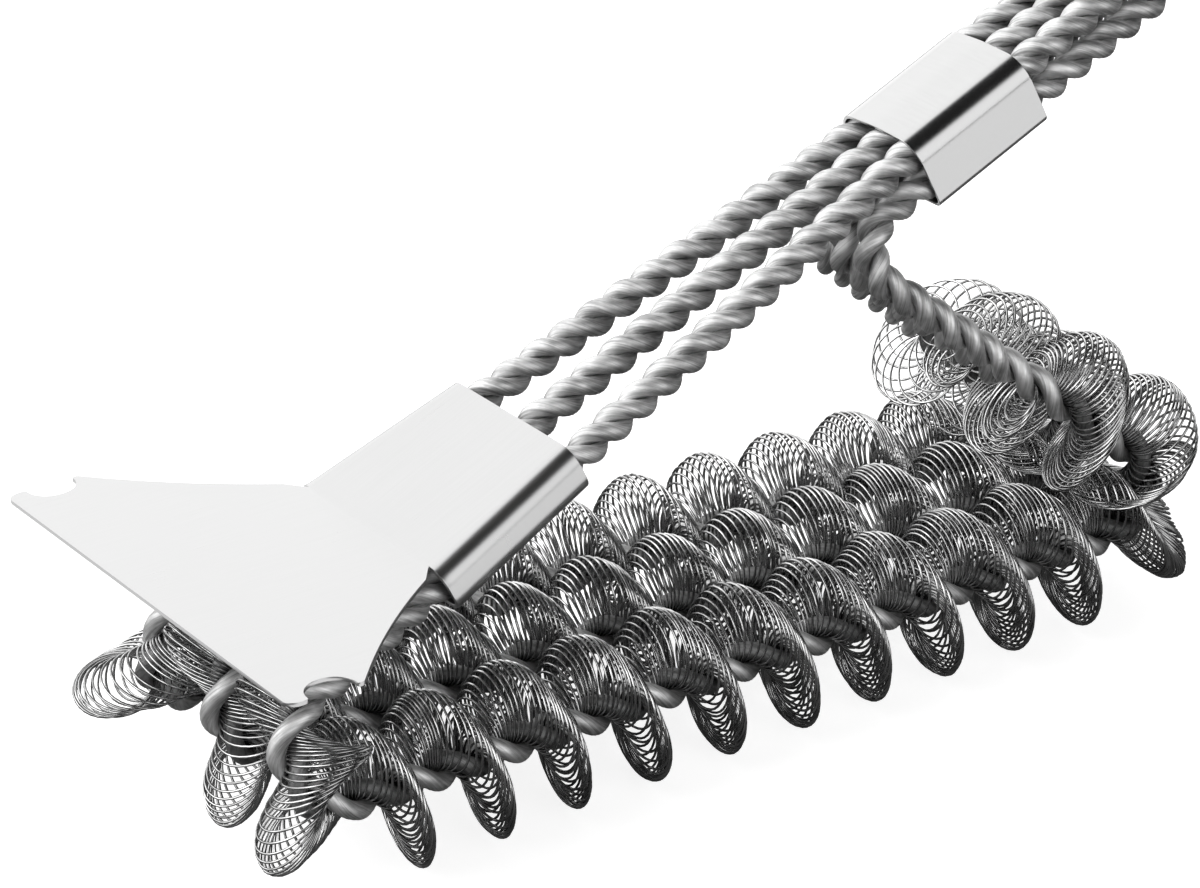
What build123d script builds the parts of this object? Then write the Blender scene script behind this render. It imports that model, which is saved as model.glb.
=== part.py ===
from build123d import *
from math import atan2, cos, degrees, hypot, radians, sin, tan
import os

# Bristle-free grill cleaning brush, millimetres.
# Frame: +Y runs from the scraper blade to the hanging loop, +X is to the side, +Z is up.
# Three closed loops of heavy wire run from the grip through a ferrule, fan out through the
# scraper's sleeve, turn down at the front, run back as three straight rows, turn up at the
# rear and climb back to the ferrule.  Fine spring coil is wound round the rows and bends.
# Each loop is two wires twisted together; here the two lie side by side, untwisted, in the
# envelope of the twisted strand.
# Design heights are measured from the rows' axis; the finished part is moved so that its
# origin is at the bottom centre of its box.

# ---- Driving dimensions: heavy wire loops ----
wire_d = 3.3                 # heavy wire
wire_gap = 0.26              # between the two wires of one strand, held open by the spring wire
handle_angle = 23.7          # rise of the strands towards the grip, degrees
strand_height = 27.2         # top strand's line above the rows' axis, at Y = 0
strand_gap = 0.89            # between strands side by side in the ferrule
layer_gap = 0.05             # between the top and bottom layers of strands
row_half_spread = 26.25      # outer row's distance from the middle row, at Y = 0
row_toe_in = 1.375           # outer rows close up towards the rear, degrees
front_reach = 25.5           # front of the strand's front bend, ahead of Y = 0
rear_reach = 159.5           # back of the strand's rear bend
leg_base_height = 10.8       # height at which the climbing leg would meet the rear reach
leg_angle = 42.0             # climb of the rear leg over the rows, degrees
front_bend_r = 9.6
rear_bend_r = 7.4
top_bend_r = 8.0
fan_bend_r = 60.0

# ---- Driving dimensions: spring coil ----
coil_r = 14.9                # outer radius of the wound coil about the strand
coil_clearance = 0.32        # between the strand and the coil's bore
coil_gap = 0.3               # between neighbouring coils
coil_front_wrap = 150.0      # how far the coil follows the front bend, degrees
coil_leg_length = 26.0       # how far the coil climbs the rear leg

# ---- Driving dimensions: scraper ----
sheet_t = 0.8
blade_top = 35.2             # top face of the blade over the rows' axis
blade_front = -38.2
blade_half_width = 51.0
blade_corner_r = 2.4
notch_from_front = 8.4
notch_r = 4.5
notch_inset = 0.8            # the notch's centre lies this far inside the blade's side
shoulder_from_front = 14.0   # where the side edge leaves the blade's full width
shoulder_r = 1.2
side_hollow = 1.0            # depth of the side edge's gentle hollow
neck_y = 3.0
sleeve_start = 8.6           # along the handle's line
sleeve_length = 32.4
sleeve_front_width = 49.2
sleeve_rear_width = 41.0
sleeve_room = 0.57           # above and below the strands
sleeve_clearance = 0.28      # beside the outer strands, at the sleeve's rear
sleeve_fold_r = 3.9
seam_width = 0.8

# ---- Driving dimensions: ferrule ----
ferrule_start = 126.8
ferrule_length = 26.4
ferrule_wall = 0.6
ferrule_clearance = 0.32     # beside the outer strands
ferrule_top_r = 4.3
ferrule_bottom_r = 2.0

# ---- Driving dimensions: grip ----
grip_start = 212.0
grip_length = 150.0
grip_wall = 2.4
grip_front = (30.4, 21.0, 8.0)      # width, height, corner radius
grip_middle = (33.4, 26.0, 11.0)
grip_waist = (30.4, 23.0, 9.5)
grip_rear = (32.4, 25.0, 10.5)
grip_stations = (0.0, 0.3, 0.62, 1.0)
slide_clearance = 0.1        # parts that push together
collar_length = 9.0
collar_seat = 0.4            # depth of the step that the collar sits in
collar_rim = 0.7             # the collar stands proud of the grip by this
collar_face_t = 0.9
pad_length = 84.0
pad_width = 15.0
pad_depth = 1.4
anchor_inset = 12.0          # from the grip's front to the anchor block
anchor_hold = 42.0           # length of strand held in the anchor block
anchor_heel = 14.0           # solid end of the block, crossed by the first screw
screw_d = 2.9
screw_head_d = 5.2
screw_head_t = 2.2
boss_r = 3.6
rear_screws = (97.0, 133.0)  # from the grip's front

# ---- Driving dimensions: end cap and hanging loop ----
cap_length = 7.0
cap_plug_length = 9.0
cap_round = 2.6
lug_width = 8.0
lug_r = 4.6
pivot_from_cap = 14.0
loop_wire_d = 3.0
pivot_clearance = 0.06       # radial
loop_width = 24.0
loop_length = 40.0
loop_shoulder_r = 4.5
loop_end_r = 11.6

# ---- Derived values ----
wire_r = wire_d / 2
wire_offset = (wire_d + wire_gap) / 2
strand_half_width = wire_offset + wire_r
strand_pitch = 2 * strand_half_width + strand_gap
layer_pitch = 2 * wire_d + layer_gap
layer_mid = -layer_pitch / 2
sleeve_end = sleeve_start + sleeve_length
sleeve_spread = sleeve_rear_width / 2 - sheet_t - sleeve_clearance - strand_half_width
fan_slope = (sleeve_spread - strand_pitch) / (ferrule_start - sleeve_end)
sleeve_height = 2 * (strand_half_width + sleeve_room + sheet_t)
ferrule_height = layer_pitch + 2 * (strand_half_width + ferrule_wall)
ferrule_width = 2 * (strand_pitch + strand_half_width + ferrule_clearance + ferrule_wall)
grip_end = grip_start + grip_length
cavity_width = 2 * (strand_pitch + strand_half_width) + 4 * slide_clearance + 2.0
cavity_height = layer_pitch + 2 * strand_half_width + 2 * slide_clearance + 1.5
cavity = (cavity_width, cavity_height, 2.8)
anchor_start = grip_start + anchor_inset
wire_end = anchor_start + anchor_hold
screw_stations = (anchor_inset + anchor_hold + anchor_heel / 2, *rear_screws)
cap_start = grip_end
pivot_at = cap_start + cap_length + pivot_from_cap
handle_frame = Location((0, 0, strand_height), (handle_angle, 0, 0))


def on_handle(x, along, up=0.0):
    """Point at a distance along and above the top strand's line."""
    rise = radians(handle_angle)
    return (x, along * cos(rise) - up * sin(rise),
            strand_height + along * sin(rise) + up * cos(rise))


def section(along, width, height, corner_r, up=0.0):
    """Rounded rectangle square to the handle's line, in the handle's own frame."""
    profile = Pos(0, up) * RectangleRounded(width, height, corner_r)
    return Plane.XZ.offset(-along) * profile


def prism(start, length, width, height, corner_r, up=0.0):
    """Straight bar of rounded-rectangle section along the handle's line."""
    return extrude(section(start, width, height, corner_r, up), amount=-length)


def smaller(shape, by):
    """A (width, height, radius) section drawn in by a distance all round."""
    width, height, corner_r = shape
    return width - 2 * by, height - 2 * by, corner_r - by


# ---- Wire loops ----
def leg_top():
    """Where the climbing leg's line meets the ferrule's bottom layer, as (y, z)."""
    slope = tan(radians(handle_angle))
    layer_height = strand_height - layer_pitch / cos(radians(handle_angle))
    climb = tan(radians(leg_angle))
    y = (leg_base_height + climb * rear_reach - layer_height) / (climb + slope)
    return y, layer_height + slope * y


def row_x(side, y):
    return side * (row_half_spread - tan(radians(row_toe_in)) * y)


def loop_corners(side):
    """Corners of one strand's route and the radius at each; side is -1, 0 or 1."""
    end = wire_end - slide_clearance
    run = -front_reach / cos(radians(handle_angle))
    spread = strand_pitch + fan_slope * (ferrule_start - run)
    top_y, top_z = leg_top()
    corners = [
        on_handle(side * strand_pitch, end),
        on_handle(side * strand_pitch, ferrule_start),
        on_handle(side * spread, run),
        (row_x(side, -front_reach), -front_reach, 0),
        (row_x(side, rear_reach), rear_reach, 0),
        (row_x(side, rear_reach), rear_reach, leg_base_height),
        (side * strand_pitch, top_y, top_z),
        on_handle(side * strand_pitch, end, -layer_pitch),
    ]
    radii = [fan_bend_r, front_bend_r, front_bend_r, rear_bend_r, rear_bend_r, top_bend_r]
    if side == 0:            # the middle strand does not fan, so it has no corner there
        del corners[1], radii[0]
    return corners, radii


def bar_along(corners, radii, radius):
    """Round bar along straight runs joined by tangent arcs."""
    path = FilletPolyline(*corners, radius=radii)
    start = Plane(origin=path @ 0, z_dir=path % 0)
    return sweep(start * Circle(radius), path=path)


def make_wire(side, offset):
    corners, radii = loop_corners(side)
    moved = [(x + offset, y, z) for x, y, z in corners]
    return bar_along(moved, radii, wire_r)


# ---- Spring coils ----
def bend_solid(y, z, bend_r, turn, direction):
    """Outer shape of the coil round a bend that turns up from the row about (y, z)."""
    disc = Pos(0, z - bend_r) * Circle(coil_r)
    below = Pos(0, z - 2 * coil_r) * Rectangle(4 * coil_r, 4 * coil_r)
    face = Plane.XZ.offset(-y) * (disc & below)
    return revolve(face, axis=Axis((0, y, z), (direction, 0, 0)), revolution_arc=turn)


def coil_envelope():
    """Outer shape of a coil whose row lies on the Y axis."""
    front_y = -front_reach + front_bend_r
    rear_y = rear_reach - rear_bend_r
    row = extrude(Plane.XZ.offset(-front_y) * Circle(coil_r), amount=-(rear_y - front_y))
    front = bend_solid(front_y, front_bend_r, front_bend_r, coil_front_wrap, -1)
    rear = bend_solid(rear_y, rear_bend_r, rear_bend_r, 180 - leg_angle, 1)
    climb = radians(leg_angle)
    leg_start = (0, rear_y + rear_bend_r * sin(climb), rear_bend_r * (1 + cos(climb)))
    leg_plane = Plane(origin=leg_start, x_dir=(1, 0, 0), z_dir=(0, -cos(climb), sin(climb)))
    leg = extrude(leg_plane * Circle(coil_r), amount=coil_leg_length)
    return row + front + rear + leg


def between_rows(side):
    """Half space on the inner side of the plane midway between two rows, as a big block."""
    size = 4 * rear_reach
    block = Pos(-size / 2, 0, 0) * Box(size, size, size)
    tilt = Rot(0, 0, row_toe_in / 2)
    right = Pos(row_half_spread / 2 + coil_gap / 2, 0, 0) * tilt * block
    return right if side > 0 else mirror(right, about=Plane.YZ)


def outside_middle(side):
    """Half space outside the middle coil on one side, as a big block."""
    size = 4 * rear_reach
    block = Pos(size / 2, 0, 0) * Box(size, size, size)
    tilt = Rot(0, 0, row_toe_in / 2)
    right = Pos(row_half_spread / 2 - coil_gap / 2, 0, 0) * tilt * block
    return right if side > 0 else mirror(right, about=Plane.YZ)


def make_coil(side):
    """Wound coil as one solid round its strand, cut back midway to its neighbours."""
    envelope = coil_envelope()
    if side == 0:
        trimmed = envelope - outside_middle(1) - outside_middle(-1)
    else:
        placed = Pos(side * row_half_spread, 0, 0) * Rot(0, 0, side * row_toe_in) * envelope
        trimmed = placed - between_rows(side)
    corners, radii = loop_corners(side)
    return trimmed - bar_along(corners, radii, strand_half_width + coil_clearance)


# ---- Scraper ----
def blade_half():
    """Outline of the right half of the blade, from the middle line to the side."""
    shoulder_y = blade_front + shoulder_from_front
    neck = sleeve_front_width / 2
    flat = neck - sleeve_fold_r
    rise = radians(handle_angle)
    back = sleeve_start * cos(rise) - sleeve_height / 2 * sin(rise) + sheet_t
    middle_x, middle_y = (neck + blade_half_width) / 2, (neck_y + shoulder_y) / 2
    chord = hypot(blade_half_width - neck, neck_y - shoulder_y)
    hollow_x = side_hollow * (neck_y - shoulder_y) / chord
    hollow_y = side_hollow * (blade_half_width - neck) / chord
    outline = Polyline((neck, neck_y), (flat, back), (0, back), (0, blade_front),
                       (blade_half_width, blade_front), (blade_half_width, shoulder_y))
    side = ThreePointArc((blade_half_width, shoulder_y),
                         (middle_x - hollow_x, middle_y - hollow_y), (neck, neck_y))
    face = make_face(outline + side)
    corners = face.vertices().filter_by(lambda v: v.X > blade_half_width - 0.01)
    front_corner, shoulder = corners.sort_by(Axis.Y)
    face = fillet(front_corner, blade_corner_r)
    shoulder = face.vertices().sort_by_distance(shoulder.center())[0]
    face = fillet(shoulder, shoulder_r)
    notch = Pos(blade_half_width - notch_inset, blade_front + notch_from_front) * Circle(notch_r)
    return face - notch


def sleeve_body(extra, inset):
    """Tapered flat tube in the handle's frame, longer by extra and inset all round."""
    taper = (sleeve_rear_width - sleeve_front_width) / sleeve_length
    ends = (sleeve_start - extra, sleeve_start + sleeve_length + extra)
    faces = []
    for end in ends:
        width = sleeve_front_width + taper * (end - sleeve_start)
        shape = smaller((width, sleeve_height, sleeve_fold_r), inset)
        faces.append(section(end, *shape))
    return loft(faces)


def make_scraper():
    """Blade and sleeve pressed from one sheet, with the sleeve's seam underneath."""
    seam = Pos(0, sleeve_start, -sleeve_height / 2) * Box(seam_width, 4 * sleeve_length, 4 * sheet_t)
    sleeve = sleeve_body(0, 0) - sleeve_body(1, sheet_t) - seam
    right = blade_half()
    outline = right + mirror(right, about=Plane.YZ)
    blade = extrude(Pos(0, 0, blade_top - sheet_t) * outline, amount=sheet_t)
    return blade + handle_frame * sleeve


# ---- Ferrule ----
def make_ferrule():
    """Band closed round the six strands, with its seam underneath."""
    def band(width, height, top_r, bottom_r, start, length):
        profile = Rectangle(width, height)
        profile = fillet(profile.vertices().group_by(Axis.Y)[-1], top_r)
        profile = fillet(profile.vertices().group_by(Axis.Y)[0], bottom_r)
        return extrude(Plane.XZ.offset(-start) * (Pos(0, layer_mid) * profile), amount=-length)
    wall = ferrule_wall
    outer = band(ferrule_width, ferrule_height, ferrule_top_r, ferrule_bottom_r,
                 ferrule_start, ferrule_length)
    inner = band(ferrule_width - 2 * wall, ferrule_height - 2 * wall, ferrule_top_r - wall,
                 ferrule_bottom_r - wall, ferrule_start - 1, ferrule_length + 2)
    seam_at = (0, ferrule_start + ferrule_length / 2, layer_mid - ferrule_height / 2)
    seam = Pos(*seam_at) * Box(seam_width / 2, ferrule_length + 2, 4 * wall)
    return handle_frame * (outer - inner - seam)


# ---- Grip ----
def grip_form(inset):
    """Grip's outer form drawn in by a distance, in the handle's frame."""
    shapes = (grip_front, grip_middle, grip_waist, grip_rear)
    faces = [section(grip_start + share * grip_length, *smaller(shape, inset), layer_mid)
             for share, shape in zip(grip_stations, shapes)]
    return loft(faces)


def pad_block(inset, top):
    """Stadium-shaped block that cuts a pad out of the grip's top or bottom."""
    middle = grip_start + grip_length / 2
    shape = SlotOverall(pad_length - 2 * inset, pad_width - 2 * inset)
    plane = Plane(origin=(0, middle, layer_mid), x_dir=(0, 1, 0), z_dir=(0, 0, top))
    return extrude(plane * shape, amount=grip_middle[1])


def make_pad(top):
    """Soft pad let into the grip's top or bottom face."""
    skin = grip_form(0) - grip_form(pad_depth)
    return handle_frame * (skin & pad_block(slide_clearance, top))


def screw_holes():
    """Cross holes and head seats for the grip's screws."""
    cuts = Part()
    for station in screw_stations:
        at = Pos(0, grip_start + station, layer_mid) * Rot(0, 90, 0)
        cuts += at * Cylinder(screw_d / 2 + slide_clearance, 2 * screw_end())
        seat = screw_seat()
        head = Cylinder(screw_head_d / 2 + slide_clearance, grip_middle[0])
        cuts += at * Pos(0, 0, seat + grip_middle[0] / 2) * head
    return cuts


def screw_seat():
    """Distance from the middle plane to the face under a screw's head."""
    return grip_waist[0] / 2 - grip_wall - 0.4


def screw_end():
    """Distance from the middle plane to a screw's tip."""
    return grip_waist[0] / 2 - grip_wall


def make_grip_half(side):
    """One of two shells that meet on the middle plane; side is -1 or 1."""
    room = prism(grip_start - 1, grip_length + 2, *cavity, layer_mid)
    shell = grip_form(0) - room
    for station in screw_stations[1:]:
        boss = Rot(0, 90, 0) * Cylinder(boss_r, cavity_width + 1)
        shell += Pos(0, grip_start + station, layer_mid) * boss
    skin = grip_form(0) - grip_form(pad_depth + slide_clearance)
    shell -= skin & pad_block(0, 1)
    shell -= skin & pad_block(0, -1)
    shell -= collar_step()
    shell -= screw_holes()
    half = Pos(side * grip_length, grip_start, 0) * Box(2 * grip_length, 4 * grip_length,
                                                       4 * grip_length)
    return handle_frame * (shell & half)


def make_screws():
    """Three cross screws with their heads on the +X side."""
    screws = []
    for station in screw_stations:
        seat, tip = screw_seat(), screw_end()
        head = Pos(0, 0, seat + screw_head_t / 2) * Cylinder(screw_head_d / 2, screw_head_t)
        shank = Pos(0, 0, (seat - tip) / 2) * Cylinder(screw_d / 2, seat + tip)
        slot = Pos(0, 0, seat + screw_head_t) * Box(screw_head_d, 0.9, 1.4)
        at = handle_frame * Pos(0, grip_start + station, layer_mid) * Rot(0, 90, 0)
        screws.append(at * (head + shank - slot))
    return Compound(children=screws)


def make_anchor():
    """Block in the grip that holds the ends of the six strands."""
    block = prism(anchor_start, anchor_hold + anchor_heel, *smaller(cavity, slide_clearance),
                  layer_mid)
    for column in (-1, 0, 1):
        for up in (0, -layer_pitch):
            slot = SlotOverall(2 * (strand_half_width + slide_clearance),
                               wire_d + 2 * slide_clearance)
            mouth = Plane.XZ.offset(-anchor_start) * (Pos(column * strand_pitch, up) * slot)
            block -= extrude(mouth, amount=-anchor_hold)
    return handle_frame * (block - screw_holes())


def collar_step():
    """What is cut from the grip's front end so that the collar can slide over it."""
    length = collar_length + slide_clearance
    around = prism(grip_start - 1, length + 1, *smaller(grip_middle, -2.0), layer_mid)
    spigot = prism(grip_start - 2, length + 4, *smaller(grip_front, collar_seat), layer_mid)
    return around - spigot


def make_collar():
    """Steel collar over the grip's front end, with a window for the strands."""
    body = prism(grip_start - collar_face_t, collar_length + collar_face_t,
                 *smaller(grip_front, -collar_rim), layer_mid)
    bore = smaller(grip_front, collar_seat - slide_clearance)
    body -= prism(grip_start, collar_length + 1, *bore, layer_mid)
    body -= prism(grip_start - 5, 10, *smaller(cavity, 1.0), layer_mid)
    return handle_frame * body


# ---- End cap and hanging loop ----
def make_cap():
    """Cap with a plug in the grip and a lug for the hanging loop's pivot."""
    disc = prism(cap_start, cap_length, *grip_rear, layer_mid)
    rim = disc.faces().sort_by(Axis.Y)[-1].edges()
    disc = fillet(rim, cap_round)
    plug = prism(cap_start - cap_plug_length, cap_plug_length, *smaller(cavity, slide_clearance),
                 layer_mid)
    arm = Pos(0, (cap_start + pivot_at) / 2, layer_mid)
    lug = arm * Box(lug_width, pivot_at - cap_start, 2 * lug_r)
    lug += Pos(0, pivot_at, layer_mid) * Rot(0, 90, 0) * Cylinder(lug_r, lug_width)
    hole = Cylinder(loop_wire_d / 2 + pivot_clearance, 2 * lug_width)
    return handle_frame * (disc + plug + lug - Pos(0, pivot_at, layer_mid) * Rot(0, 90, 0) * hole)


def pivot_point():
    return on_handle(0, pivot_at, layer_mid)


def make_hanging_loop():
    """Closed wire bail, threaded through the lug and hanging straight down."""
    half = loop_width / 2
    corners = [(-half, 0, 0), (half, 0, 0), (half, 0, -loop_length), (-half, 0, -loop_length)]
    radii = [loop_shoulder_r, loop_shoulder_r, loop_end_r, loop_end_r]
    path = FilletPolyline(*corners, radius=radii, close=True)
    start = Plane(origin=path @ 0, z_dir=path % 0)
    return Pos(*pivot_point()) * sweep(start * Circle(loop_wire_d / 2), path=path)


# ---- Assembly ----
def make_parts():
    names = {-1: "left", 0: "middle", 1: "right"}
    parts = {}
    for side, name in names.items():
        parts[name + "_wire_a"] = make_wire(side, -wire_offset)
        parts[name + "_wire_b"] = make_wire(side, wire_offset)
        parts[name + "_coil"] = make_coil(side)
    parts["scraper"] = make_scraper()
    parts["ferrule"] = make_ferrule()
    parts["grip_collar"] = make_collar()
    parts["grip_left_shell"] = make_grip_half(-1)
    parts["grip_right_shell"] = make_grip_half(1)
    parts["grip_top_pad"] = make_pad(1)
    parts["grip_bottom_pad"] = make_pad(-1)
    parts["anchor_block"] = make_anchor()
    parts["grip_screws"] = make_screws()
    parts["end_cap"] = make_cap()
    parts["hanging_loop"] = make_hanging_loop()
    return parts


def origin_shift(parts):
    """Move that puts the origin at the bottom centre of the whole part's box."""
    boxes = [shape.bounding_box() for shape in parts.values()]
    low = [min(getattr(box.min, axis) for box in boxes) for axis in "XYZ"]
    high = [max(getattr(box.max, axis) for box in boxes) for axis in "XYZ"]
    return -(low[0] + high[0]) / 2, -(low[1] + high[1]) / 2, -low[2]


def main():
    os.makedirs("parts", exist_ok=True)
    parts = make_parts()
    shift = origin_shift(parts)
    for name, shape in parts.items():
        export_step(Pos(*shift) * shape, "parts/" + name + ".step")
    pivot = [round(a + b, 3) for a, b in zip(pivot_point(), shift)]
    print("shift", [round(value, 3) for value in shift], "pivot", pivot)


main()
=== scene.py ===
import logging
import math
from dataclasses import dataclass, field
from enum import Enum
from typing import Any

import bpy
import numpy as np
from mathutils import Matrix, Quaternion, Vector
from mathutils.bvhtree import BVHTree


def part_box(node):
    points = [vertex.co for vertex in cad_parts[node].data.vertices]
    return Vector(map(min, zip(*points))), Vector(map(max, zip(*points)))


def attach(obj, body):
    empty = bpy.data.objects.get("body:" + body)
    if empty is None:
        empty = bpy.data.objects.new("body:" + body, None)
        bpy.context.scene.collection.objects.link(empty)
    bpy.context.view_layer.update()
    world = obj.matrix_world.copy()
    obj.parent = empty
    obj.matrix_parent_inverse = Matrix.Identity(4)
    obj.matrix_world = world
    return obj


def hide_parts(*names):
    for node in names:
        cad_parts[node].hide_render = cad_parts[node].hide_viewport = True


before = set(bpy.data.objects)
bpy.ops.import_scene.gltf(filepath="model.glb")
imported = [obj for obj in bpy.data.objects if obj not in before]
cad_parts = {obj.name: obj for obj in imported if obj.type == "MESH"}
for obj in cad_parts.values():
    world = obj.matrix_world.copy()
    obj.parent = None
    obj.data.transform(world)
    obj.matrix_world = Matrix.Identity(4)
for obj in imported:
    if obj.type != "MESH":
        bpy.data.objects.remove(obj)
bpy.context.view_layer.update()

log = logging.getLogger("grill_brush")
MM = 0.001                       # sizes are in metres
BRUSH = "brush"
PLAIN = (1.0, 1.0, 1.0)
SAME_POINT = 1e-6


# ---- Shader tools ----
class Num:
    """A number socket whose operators add Math nodes to its bench."""

    def __init__(self, bench: "NodeBench", socket: bpy.types.NodeSocket) -> None:
        """Holds the bench and the socket."""
        self.bench = bench
        self.socket = socket

    def joined(self, operation: str, first: Any, second: Any) -> "Num":
        """Adds a Math node.

        Args:
            operation: The Math node's operation.
            first: Number or Num for its first input.
            second: Number or Num for its second input.

        Returns:
            The node's result.
        """
        made = self.bench.node("ShaderNodeMath", {"operation": operation}, {0: first, 1: second})
        return Num(self.bench, made.outputs[0])

    def __add__(self, other: Any) -> "Num":
        """Sum."""
        return self.joined("ADD", self, other)

    def __radd__(self, other: Any) -> "Num":
        """Sum, reflected."""
        return self.joined("ADD", other, self)

    def __sub__(self, other: Any) -> "Num":
        """Difference."""
        return self.joined("SUBTRACT", self, other)

    def __rsub__(self, other: Any) -> "Num":
        """Difference, reflected."""
        return self.joined("SUBTRACT", other, self)

    def __mul__(self, other: Any) -> "Num":
        """Product."""
        return self.joined("MULTIPLY", self, other)

    def __rmul__(self, other: Any) -> "Num":
        """Product, reflected."""
        return self.joined("MULTIPLY", other, self)

    def above(self, level: float, soft: float) -> "Num":
        """Smooth step from 0 to 1 around a level.

        Args:
            level: Value at the middle of the step.
            soft: Half width of the step.

        Returns:
            The step as a number.
        """
        made = self.bench.node(
            "ShaderNodeMapRange",
            {"interpolation_type": "SMOOTHSTEP"},
            {"Value": self, "From Min": level - soft, "From Max": level + soft},
        )
        return Num(self.bench, made.outputs["Result"])


class NodeBench:
    """Adds and links nodes in one node tree."""

    def __init__(self, tree: bpy.types.NodeTree) -> None:
        """Empties the tree."""
        self.tree = tree
        tree.nodes.clear()

    def feed(self, socket: bpy.types.NodeSocket, value: Any) -> None:
        """Links a socket or sets its value.

        Args:
            socket: The input.
            value: A Num, a socket, or a plain value.
        """
        if isinstance(value, Num):
            self.tree.links.new(value.socket, socket)
        elif isinstance(value, bpy.types.NodeSocket):
            self.tree.links.new(value, socket)
        else:
            socket.default_value = value

    def node(self, kind: str, settings: dict[str, Any], inputs: dict[Any, Any]) -> bpy.types.Node:
        """Adds one node.

        Args:
            kind: The node's type.
            settings: Its properties; "stops" are a ramp's positions and colours.
            inputs: Values or links by socket name or number.

        Returns:
            The new node.
        """
        made = self.tree.nodes.new(kind)
        for name, value in settings.items():
            if name == "stops":
                while len(made.color_ramp.elements) < len(value):
                    made.color_ramp.elements.new(0.5)
                for element, (position, colour) in zip(made.color_ramp.elements, value):
                    element.position = position
                    element.color = colour
            else:
                setattr(made, name, value)
        for key, value in inputs.items():
            self.feed(made.inputs[key], value)
        return made

    def place(self, scale: tuple[float, float, float] = PLAIN) -> bpy.types.NodeSocket:
        """Object coordinates in metres, scaled on each axis."""
        found = self.node("ShaderNodeTexCoord", {}, {}).outputs["Object"]
        return self.node("ShaderNodeMapping", {}, {"Vector": found, "Scale": scale}).outputs[0]

    def along(self, scale: tuple[float, float, float] = PLAIN) -> bpy.types.NodeSocket:
        """The piece's own UV map, scaled: x along the wire, y round it."""
        found = self.node("ShaderNodeUVMap", {"uv_map": "wire"}, {}).outputs["UV"]
        return self.node("ShaderNodeMapping", {}, {"Vector": found, "Scale": scale}).outputs[0]

    def noise(self, vector: bpy.types.NodeSocket, scale: float, detail: float = 3.0,
              rough: float = 0.5) -> Num:
        """Noise texture's value.

        Args:
            vector: Where the pattern is read.
            scale: Its scale.
            detail: Its octaves.
            rough: How strong the finer octaves are.

        Returns:
            The noise, about 0 to 1.
        """
        made = self.node("ShaderNodeTexNoise", {}, {
            "Vector": vector, "Scale": scale, "Detail": detail, "Roughness": rough})
        return Num(self, made.outputs["Fac"])

    def mixed(self, factor: Any, first: Any, second: Any) -> bpy.types.NodeSocket:
        """Mix of two colours.

        Args:
            factor: Share of the second colour.
            first: Colour at factor 0.
            second: Colour at factor 1.

        Returns:
            The mixed colour.
        """
        made = self.node("ShaderNodeMix", {"data_type": "RGBA"},
                         {"Factor": factor, 6: first, 7: second})
        return made.outputs[2]

    def bump(self, height: Num, strength: float, distance: float) -> bpy.types.NodeSocket:
        """Normal from a height.

        Args:
            height: The height pattern.
            strength: Share of the effect.
            distance: Height in metres of the pattern's full swing.

        Returns:
            The normal.
        """
        made = self.node("ShaderNodeBump", {},
                         {"Height": height, "Strength": strength, "Distance": distance})
        return made.outputs[0]


def grey(level: float) -> tuple[float, float, float, float]:
    """A grey colour."""
    return (level, level, level, 1.0)


@dataclass(frozen=True)
class Finish:
    """What every finish has: a name, and a Principled shader dressed by its subclass."""

    name: str

    def dress(self, bench: NodeBench) -> dict[str, Any]:
        """Values and links for the Principled shader's sockets, none here."""
        return {}

    def material(self) -> bpy.types.Material:
        """The finish's material, made once.

        Returns:
            The material.
        """
        found = bpy.data.materials.get(self.name)
        if found:
            return found
        made = bpy.data.materials.new(self.name)
        made.use_nodes = True
        bench = NodeBench(made.node_tree)
        shader = bench.node("ShaderNodeBsdfPrincipled", {}, self.dress(bench))
        bench.node("ShaderNodeOutputMaterial", {}, {"Surface": shader.outputs[0]})
        return made


@dataclass(frozen=True)
class DrawnWire(Finish):
    """Dull drawn steel wire with fine marks along it and darker, rougher patches."""

    light: float = 0.67
    dark: float = 0.27
    gloss: float = 0.46
    wear_and_painted_shade: tuple[float, float] = (0.0, 0.0)      # where the painted shade under a coil's rings starts and ends
    # Share, grey and soft ends of the painted shade under the coil's rings.
    coil_shade_share: float = 0.55
    coil_shade_tone: float = 0.03
    coil_shade_edge: float = 4.0 * MM
    streak_scale: tuple[float, float, float] = (60.0, 9.0, 1.0)
    line_scale: tuple[float, float, float] = (170.0, 26.0, 1.0)
    cloud_scale: float = 260.0
    pit_scale: float = 2600.0
    relief: float = 0.2 * MM

    def dress(self, bench: NodeBench) -> dict[str, Any]:
        """Streaks that run along the wire, with faint pits, and painted shade along the run that
        a coil's rings cover.

        Args:
            bench: The material's bench.

        Returns:
            Values and links by socket name.
        """
        streaks = bench.noise(bench.along(self.streak_scale), 1.0, detail=4.0, rough=0.6)
        clouds = bench.noise(bench.place(), self.cloud_scale)
        pits = bench.noise(bench.place(), self.pit_scale, detail=2.0)
        lines = bench.noise(bench.along(self.line_scale), 1.0, rough=0.65)
        tone = streaks * 0.4 + clouds * 0.25 + lines * 0.35
        lighter = tone.above(level=0.49, soft=0.11)
        colour = bench.mixed(lighter, grey(self.dark), grey(self.light))
        # Painted shade: along the run inside the coil's rings the wire is darkened towards
        # near-black, standing in for the rings' shade.
        start, end = self.wear_and_painted_shade
        if end > start:
            place = bench.node("ShaderNodeSeparateXYZ", {}, {0: bench.along()})
            run = Num(bench, place.outputs["X"])
            inside = run.above(start, self.coil_shade_edge) - run.above(end, self.coil_shade_edge)
            colour = bench.mixed(inside * self.coil_shade_share, colour, grey(self.coil_shade_tone))
        height = streaks * 0.35 + lines * 0.4 + pits * 0.25
        return {
            "Base Color": colour,
            "Metallic": 1.0,
            "Roughness": self.gloss + clouds * 0.16 + pits * 0.06,
            "Normal": bench.bump(height, strength=0.6, distance=self.relief),
        }


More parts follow.
